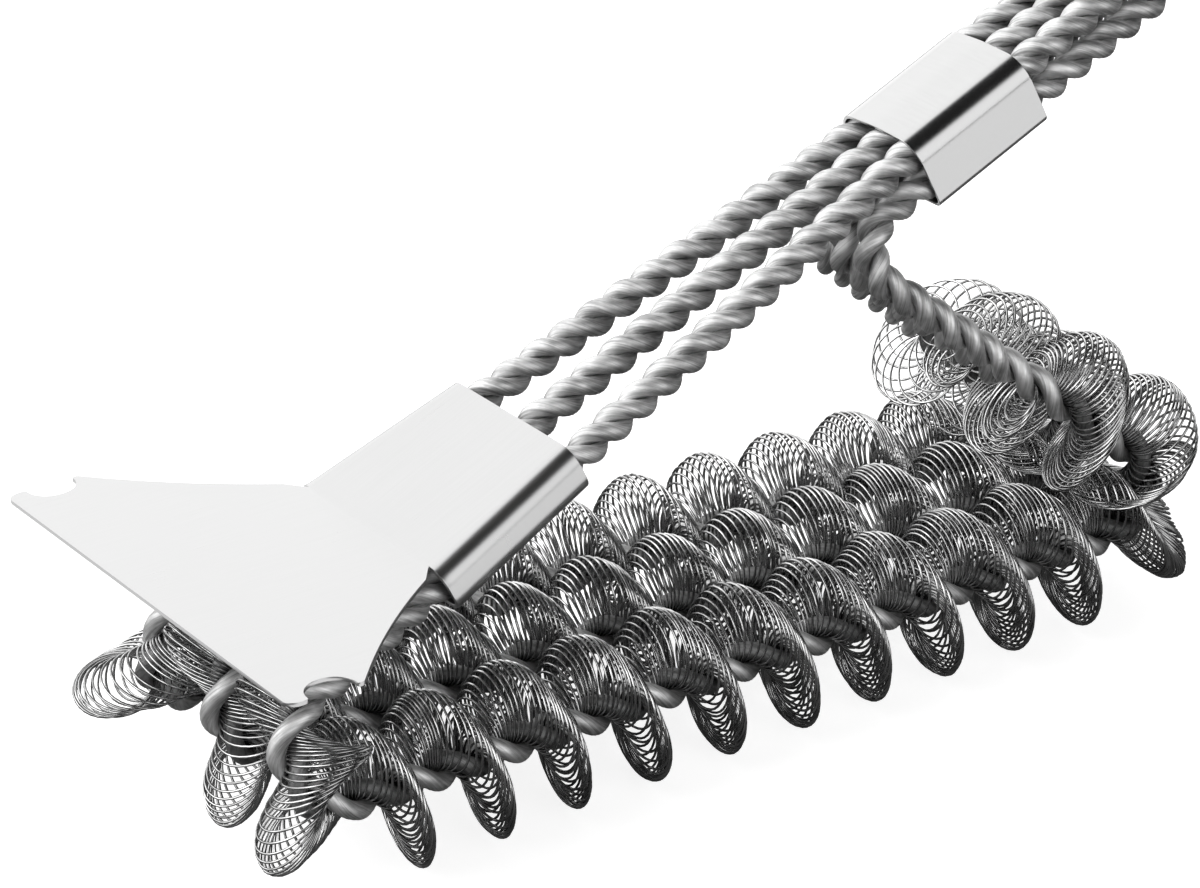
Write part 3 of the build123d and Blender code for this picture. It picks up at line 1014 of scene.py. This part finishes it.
# ---- Scraper and ferrule ----
@dataclass
class Scraper:
    """Blade and sleeve pressed from one sheet, with a soft bend between them."""

    sheet: float = 0.8 * MM
    top: float = 35.2 * MM
    front: float = -38.2 * MM
    half_width: float = 51.0 * MM
    corner: float = 2.4 * MM
    notch_from: float = 3.9 * MM
    notch_to: float = 12.9 * MM
    notch_depth: float = 5.2 * MM
    notch_round: float = 4.4 * MM
    lip_round: float = 0.7 * MM
    notch_end_round: float = 0.5 * MM
    shoulder: float = 14.0 * MM
    shoulder_round: float = 0.9 * MM
    neck_round: float = 1.2 * MM
    hollow_round: float = 150.0 * MM
    hollow: float = 2.0 * MM
    hollow_way: tuple[float, float] = (0.72, 0.70)      # the way in, square to the edge
    neck: float = 3.0 * MM
    sleeve_start: float = 8.6 * MM
    sleeve_end: float = 41.0 * MM
    front_half: float = 24.6 * MM
    rear_half: float = 20.5 * MM
    height: float = 9.6 * MM
    fold: float = 3.9 * MM
    seam_half: float = 0.4 * MM
    bend: float = 5.0 * MM
    swell: float = 0.9                  # share of the sleeve's spread that the bend takes up
    edge_round: float = 0.16 * MM
    columns: int = 16
    bend_rows: int = 9
    sleeve_rows: int = 11
    base_columns: int = 8
    fold_columns: int = 10

    def bend_points(self) -> tuple[np.ndarray, np.ndarray]:
        """The sheet's outer face on the middle line, from the bend's start to the sleeve's rear.

        Returns:
            Points as distance along the floor and height, and their distances on the handle.
        """
        rise, up = HANDLE.rise, self.height / 2
        c, s = math.cos(rise), math.sin(rise)
        crease = (self.top - HANDLE.strand_height - up * c) / s
        crease_y = crease * c - up * s
        reach = self.bend * math.tan(rise / 2)
        turns = np.linspace(0, rise, self.bend_rows)
        arc = np.stack([crease_y - reach + self.bend * np.sin(turns),
                        self.top + self.bend * (1 - np.cos(turns))], 1)
        far = np.linspace(crease + reach, self.sleeve_end, self.sleeve_rows)[1:]
        straight = np.stack([far * c - up * s, HANDLE.strand_height + far * s + up * c], 1)
        points = np.concatenate([arc, straight])
        place = points[:, 0] * c + (points[:, 1] - HANDLE.strand_height) * s
        rim = np.array([[np.interp(self.sleeve_start, place, points[:, i]) for i in (0, 1)]])
        at = int(np.searchsorted(place, self.sleeve_start))
        return np.insert(points, at, rim, 0), np.insert(place, at, self.sleeve_start)

    def flat_half(self, along: float) -> float:
        """Half width of the sleeve's flat top at a distance along the handle."""
        share = (along - self.sleeve_start) / (self.sleeve_end - self.sleeve_start)
        return self.front_half + (self.rear_half - self.front_half) * share - self.fold

    def outline(self, last: tuple[float, float]) -> np.ndarray:
        """The blade's right edge, from the front's middle to the bend.

        Args:
            last: Where the edge meets the bend, as distance to the side and along.

        Returns:
            Its points in the plane.
        """
        side, front = self.half_width, self.front
        deep = side - self.notch_depth
        way_x, way_y = self.hollow_way
        middle = ((side + self.front_half) / 2 - self.hollow * way_x,
                  (front + self.shoulder + self.neck) / 2 - self.hollow * way_y)
        path = [
            ((0.0, front), 0.0),
            ((side, front), self.corner),
            ((side, front + self.notch_from), self.lip_round),
            ((deep, front + self.notch_from), self.notch_round),
            ((deep, front + self.notch_to), self.notch_round),
            ((side, front + self.notch_to), self.notch_end_round),
            ((side, front + self.shoulder), self.shoulder_round),
            (middle, self.hollow_round),
            ((self.front_half, self.neck), self.neck_round),
            (last, 0.0),
        ]
        corners = [np.array([x, y, 0.0]) for (x, y), _ in path]
        line, _ = Route(corners, [radius for _, radius in path[1:-1]]).drawn()
        return without_doubles(line)[:, :2]

    def skin(self) -> bpy.types.Object:
        """The sheet's outer face: the flat blade, the bend, and the sleeve's walls.

        Returns:
            The face as one open mesh.
        """
        points, places = self.bend_points()
        rim = int(np.argmin(np.abs(places - self.sleeve_start)))
        halves = [self.flat_half(max(place, self.sleeve_start)) for place in places]
        lead = self.front_half - halves[rim]
        for row in range(rim):
            share = (points[rim, 0] - points[row, 0]) / (points[rim, 0] - self.neck)
            halves[row] += lead * share * self.swell
        verts: list[tuple[float, float, float]] = []
        faces: list[list[int]] = []
        rows = []
        for (y, z), half in zip(points, halves):
            rows.append(list(range(len(verts), len(verts) + self.columns + 1)))
            verts += [(half * (2 * k / self.columns - 1), y, z) for k in range(self.columns + 1)]
        for low, high in zip(rows, rows[1:]):
            faces += [[low[k], low[k + 1], high[k + 1], high[k]] for k in range(self.columns)]
        edge = self.outline((halves[0], float(points[0, 0])))[1:-1]
        right = list(range(len(verts), len(verts) + len(edge)))
        verts += [(x, y, self.top) for x, y in edge]
        left = list(range(len(verts), len(verts) + len(edge)))
        verts += [(-x, y, self.top) for x, y in edge]
        faces.append(right + rows[0][::-1] + left[::-1])
        down = self.wall()
        normal = (-math.sin(HANDLE.rise), math.cos(HANDLE.rise))
        for side in (1, -1):
            strips = []
            for row in range(rim, len(rows)):
                (y, z), half = points[row], halves[row]
                start = rows[row][-1 if side > 0 else 0]
                strip = [start]
                for out, drop in down:
                    x = self.seam_half + (half - self.seam_half) * (1 + out) if out < 0 else (
                        half + out)
                    strip.append(len(verts))
                    verts.append((side * x, y - drop * normal[0], z - drop * normal[1]))
                strips.append(strip)
            for low, high in zip(strips, strips[1:]):
                for k in range(len(low) - 1):
                    quad = [low[k], low[k + 1], high[k + 1], high[k]]
                    faces.append(quad if side > 0 else quad[::-1])
        return new_piece("scraper_sheet", np.array(verts) + HANDLE.shift, faces)

    def wall(self) -> list[tuple[float, float]]:
        """The sleeve's section from its fold to the seam.

        Returns:
            Distances out from the flat top's edge and down. A negative first number is a
            share of the way back to the seam.
        """
        turns = [math.pi / 2 * k / self.fold_columns for k in range(1, self.fold_columns + 1)]
        down = [(self.fold * math.sin(a), self.fold * (1 - math.cos(a))) for a in turns]
        lower = self.height - self.fold
        down += [(self.fold * math.cos(a), lower + self.fold * math.sin(a))
                 for a in [0.0] + turns]
        down += [(-k / self.base_columns, self.height) for k in range(1, self.base_columns + 1)]
        return down

    def build(self) -> None:
        """Makes the scraper and stands it for its CAD node."""
        maker = Maker("scraper_sheet").take(self.skin())
        maker.sheet(self.sheet).soften(self.edge_round)
        lit_group("sheets").objects.link(maker.finished())
        settle(maker.piece, BLADE_SHEET, BRUSH, "scraper_steel", "scraper")


@dataclass
class Ferrule:
    """Band of sheet closed round the six strands, crowned on top, with its seam below."""

    start: float = 126.8 * MM
    length: float = 26.4 * MM
    half_width: float = 12.1 * MM
    top: float = 4.03 * MM
    bottom: float = -10.68 * MM
    top_round: float = 5.2 * MM
    bottom_round: float = 2.0 * MM
    crown: float = 0.35 * MM
    crown_round: float = 30.0 * MM
    edge_round: float = 0.14 * MM
    step: float = 0.5 * MM
    sheet: float = 0.6 * MM
    seam_half: float = 0.2 * MM
    rings: int = 8

    def section(self) -> np.ndarray:
        """Outline of the band square to the handle, from seam to seam.

        Returns:
            Its points as distance to the side and up.
        """
        side, top, low = self.half_width, self.top, self.bottom
        path = [
            ((self.seam_half, low), 0.0),
            ((side, low), self.bottom_round),
            ((side, top - self.crown), self.top_round),
            ((0.0, top + self.crown), self.crown_round),
            ((-side, top - self.crown), self.top_round),
            ((-side, low), self.bottom_round),
            ((-self.seam_half, low), 0.0),
        ]
        corners = [np.array([x, 0.0, up]) for (x, up), _ in path]
        line, _ = Route(corners, [radius for _, radius in path[1:-1]], self.step).drawn()
        return without_doubles(line)

    def build(self) -> None:
        """Makes the ferrule and stands it for its CAD node."""
        section = self.section()
        count = len(section)
        rows = [section + np.array([0.0, self.start + self.length * k / self.rings, 0.0])
                for k in range(self.rings + 1)]
        faces = [[k * count + i + 1, k * count + i, (k + 1) * count + i, (k + 1) * count + i + 1]
                 for k in range(self.rings) for i in range(count - 1)]
        skin = new_piece("ferrule_band", np.concatenate(rows), faces)
        maker = Maker("ferrule_band").take(skin)
        maker.to_handle().sheet(self.sheet).soften(self.edge_round)
        lit_group("sheets").objects.link(maker.finished())
        settle(maker.piece, BAND_SHEET, BRUSH, "ferrule_steel", "ferrule")


@dataclass
class GripPads:
    """Soft pads of the grip, with cross grooves that a hand can feel."""

    middle: float = 287.0 * MM
    grooves: int = 11
    pitch: float = 6.4 * MM
    length: float = 11.0 * MM
    radius: float = 1.1 * MM
    depth: float = 0.5 * MM
    groove_sides: int = 24
    clear: float = 50.0 * MM            # height from which the pad's face is looked for

    def face_height(self, tree: BVHTree, along: float, way: int) -> float:
        """Height of the pad's outer face on its middle line.

        Args:
            tree: The pad's faces.
            along: Distance along the handle.
            way: 1 for the top of the grip, -1 for the bottom.

        Returns:
            The height outwards from the line of the top strands.
        """
        start = HANDLE.turn @ Vector((0.0, along, way * self.clear))
        down = HANDLE.turn.to_3x3() @ Vector((0.0, 0.0, -way))
        hit = tree.ray_cast(start, down)[0]
        return way * (HANDLE.turn.inverted() @ hit).z

    def pad(self, node: str, way: int) -> None:
        """Makes one pad.

        Args:
            node: The CAD node that it stands for.
            way: 1 for the top of the grip, -1 for the bottom.
        """
        name = node.replace("_pad", "_grooved_pad")
        piece = bpy.data.objects.new(name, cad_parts[node].data.copy())
        bpy.context.scene.collection.objects.link(piece)
        maker = Maker(name).take(piece).weld()
        tree = BVHTree.FromPolygons([vert.co.copy() for vert in piece.data.vertices],
                                    [tuple(face.vertices) for face in piece.data.polygons])
        for k in range(self.grooves):
            along = self.middle + (k - (self.grooves - 1) / 2) * self.pitch
            height = self.face_height(tree, along, way) + self.radius - self.depth
            groove = Maker("groove").rod(self.radius, self.length, (0.0, along, way * height),
                                         (0.0, math.pi / 2, 0.0), self.groove_sides)
            maker.cut(groove.to_handle())
        settle(maker.finished(), GRIP_RUBBER, BRUSH, "grip_rubber", node)

    def build(self) -> None:
        """Makes both pads."""
        self.pad("grip_top_pad", 1)
        self.pad("grip_bottom_pad", -1)


@dataclass
class KeptNodes:
    """CAD nodes whose shape stays, with their finishes."""

    finishes: dict[str, Finish] = field(default_factory=lambda: {
        "grip_collar": COLLAR_SHEET,
        "grip_left_shell": GRIP_PLASTIC,
        "grip_right_shell": GRIP_PLASTIC,
        "anchor_block": ANCHOR_PLASTIC,
        "grip_screws": SCREW_STEEL,
        "end_cap": GRIP_PLASTIC,
        "hanging_loop": LOOP_WIRE,
    })

    def build(self) -> None:
        """Dresses each node."""
        for node, finish in self.finishes.items():
            dress_node(node, finish)


# ---- Studio ----
@dataclass(frozen=True)
class SkyLight:
    """A round soft light in the sky, by its direction, and its half angle as a cosine."""

    toward: tuple[float, float, float]
    edge: float
    soft: float
    glow: float

    def level(self, bench: NodeBench, ahead: bpy.types.NodeSocket) -> Num:
        """Its brightness in a direction.

        Args:
            bench: The world's bench.
            ahead: The direction looked in.

        Returns:
            Its glow inside the light and 0 outside.
        """
        made = bench.node("ShaderNodeVectorMath", {"operation": "DOT_PRODUCT"},
                          {0: ahead, 1: tuple(Vector(self.toward).normalized())})
        return Num(bench, made.outputs["Value"]).above(self.edge, self.soft) * self.glow


@dataclass(frozen=True)
class Card:
    """A large square soft box that lights one group of pieces."""

    name: str
    at: tuple[float, float, float]
    toward: tuple[float, float, float]
    size: float
    glow: float                         # where 1 is white
    lit: str

    def hang(self) -> None:
        """Hangs the soft box, out of the camera's sight."""
        light = bpy.data.lights.new(self.name, "AREA")
        light.shape = "SQUARE"
        light.size = self.size
        light.energy = self.glow * math.pi * self.size * self.size
        made = bpy.data.objects.new(self.name, light)
        bpy.context.scene.collection.objects.link(made)
        made.location = self.at
        facing = Vector(self.toward) - Vector(self.at)
        made.rotation_euler = facing.to_track_quat("-Z", "Y").to_euler()
        made.visible_camera = False
        made.light_linking.receiver_collection = lit_group(self.lit)


SKY_LIGHTS = (
    SkyLight((-0.85, 0.0, 0.52), edge=0.70, soft=0.06, glow=1.85),
    SkyLight((-0.20, -0.85, 0.49), edge=0.82, soft=0.05, glow=2.5),
    SkyLight((0.92, 0.20, 0.28), edge=0.90, soft=0.05, glow=1.7),
    SkyLight((-0.10, 0.96, 0.26), edge=0.90, soft=0.06, glow=1.0),
)
CARDS = (
    Card("under_card", (0.62, 0.25, 0.002), (0.62, 0.25, 1.0), 1.1, 1.3, "sheets"),
    Card("edge_card", (-0.5, -0.45, 0.001), (-0.5, -0.45, 1.0), 0.9, 1.0, "sheets"),
    Card("side_card", (1.3, 0.2, 0.35), (0.0, 0.0, 0.08), 0.9, 1.9, "wires"),
    Card("over_card", (-0.5, -0.5, 1.2), (0.0, 0.0, 0.06), 1.0, 0.8, "wires"),
    Card("front_card", (0.8, -1.0, 0.7), (0.0, 0.0, 0.06), 1.1, 1.9, "wires"),
    Card("low_card", (0.75, -1.2, 0.3), (0.0, 0.0, 0.02), 1.0, 3.4, "springs"),
)


@dataclass
class Studio:
    """Camera, floor and soft light."""

    camera_at: tuple[float, float, float] = (0.65288402, -0.50218842, 0.392502)
    camera_ahead: tuple[float, float, float] = (-0.78020746, 0.4750876, -0.40690059)
    camera_roll: float = math.radians(-3.172)
    lens: float = 142.27
    sensor: float = 36.0
    near: float = 0.01
    far: float = 100.0
    floor_size: float = 12.0
    floor_drop: float = 0.4 * MM
    floor_rough: float = 0.9
    floor_seen: tuple[float, float] = (0.5, 0.85)       # tone and glow, to the camera
    floor_lit: tuple[float, float] = (0.08, 0.03)       # tone and glow, to the brush
    sky_gap: float = 0.015                              # level between the sky's lights

    def camera(self) -> None:
        """Places the camera."""
        lens = bpy.data.cameras.new("studio_camera")
        lens.sensor_fit = "HORIZONTAL"
        lens.sensor_width = self.sensor
        lens.lens = self.lens
        lens.clip_start, lens.clip_end = self.near, self.far
        made = bpy.data.objects.new("studio_camera", lens)
        bpy.context.scene.collection.objects.link(made)
        made.location = self.camera_at
        level = Vector(self.camera_ahead).to_track_quat("-Z", "Y")
        made.rotation_mode = "QUATERNION"
        made.rotation_quaternion = level @ Quaternion((0, 0, 1), self.camera_roll)
        bpy.context.scene.camera = made

    def floor(self) -> None:
        """Lays a pale floor that glows a little, as a light table does."""
        bpy.ops.object.select_all(action="DESELECT")
        bpy.ops.mesh.primitive_plane_add(size=self.floor_size, location=(0, 0, -self.floor_drop))
        floor = bpy.context.object
        floor.name = "studio_floor"
        surface = bpy.data.materials.new("pale floor")
        surface.use_nodes = True
        bench = NodeBench(surface.node_tree)
        seen, other = (bench.node("ShaderNodeBsdfPrincipled", {}, {
            "Base Color": grey(tone), "Roughness": self.floor_rough,
            "Emission Color": grey(1.0), "Emission Strength": glow})
            for tone, glow in (self.floor_seen, self.floor_lit))
        ray = bench.node("ShaderNodeLightPath", {}, {}).outputs["Is Camera Ray"]
        both = bench.node("ShaderNodeMixShader", {}, {0: ray, 1: other.outputs[0],
                                                      2: seen.outputs[0]})
        bench.node("ShaderNodeOutputMaterial", {}, {"Surface": both.outputs[0]})
        floor.data.materials.append(surface)

    def sky(self) -> None:
        """Surrounds the set with soft boxes and darker gaps, white to the camera."""
        world = bpy.data.worlds.new("studio")
        world.use_nodes = True
        bpy.context.scene.world = world
        bench = NodeBench(world.node_tree)
        ahead = bench.node("ShaderNodeTexCoord", {}, {}).outputs["Generated"]
        top, front, side, back = (light.level(bench, ahead) for light in SKY_LIGHTS)
        level = top + front + side + back + self.sky_gap
        around = bench.node("ShaderNodeBackground", {}, {"Color": grey(1.0), "Strength": level})
        seen = bench.node("ShaderNodeBackground", {}, {"Color": grey(1.0), "Strength": 1.0})
        ray = bench.node("ShaderNodeLightPath", {}, {}).outputs["Is Camera Ray"]
        both = bench.node("ShaderNodeMixShader", {}, {0: ray, 1: around.outputs[0],
                                                      2: seen.outputs[0]})
        bench.node("ShaderNodeOutputWorld", {}, {"Surface": both.outputs[0]})

    def build(self) -> None:
        """Sets up the studio."""
        self.camera()
        self.floor()
        self.sky()
        for card in CARDS:
            card.hang()
        view = bpy.context.scene.view_settings
        view.view_transform = "Standard"
        view.look = "None"


LOOPS = (
    WireLoop(Side.LEFT, lobe_at=-1.85 * MM, leg_loosening=0.45),
    WireLoop(Side.MIDDLE, lobe_at=4.7 * MM, leg_loosening=0.1),
    WireLoop(Side.RIGHT, lobe_at=2.8 * MM, leg_loosening=-0.1),
)


def main() -> None:
    """Builds the brush and its studio."""
    logging.basicConfig(level=logging.INFO, format="%(message)s")
    Studio().build()
    for loop in LOOPS:
        loop.build()
    Scraper().build()
    Ferrule().build()
    GripPads().build()
    KeptNodes().build()


if __name__ == "__main__":
    main()
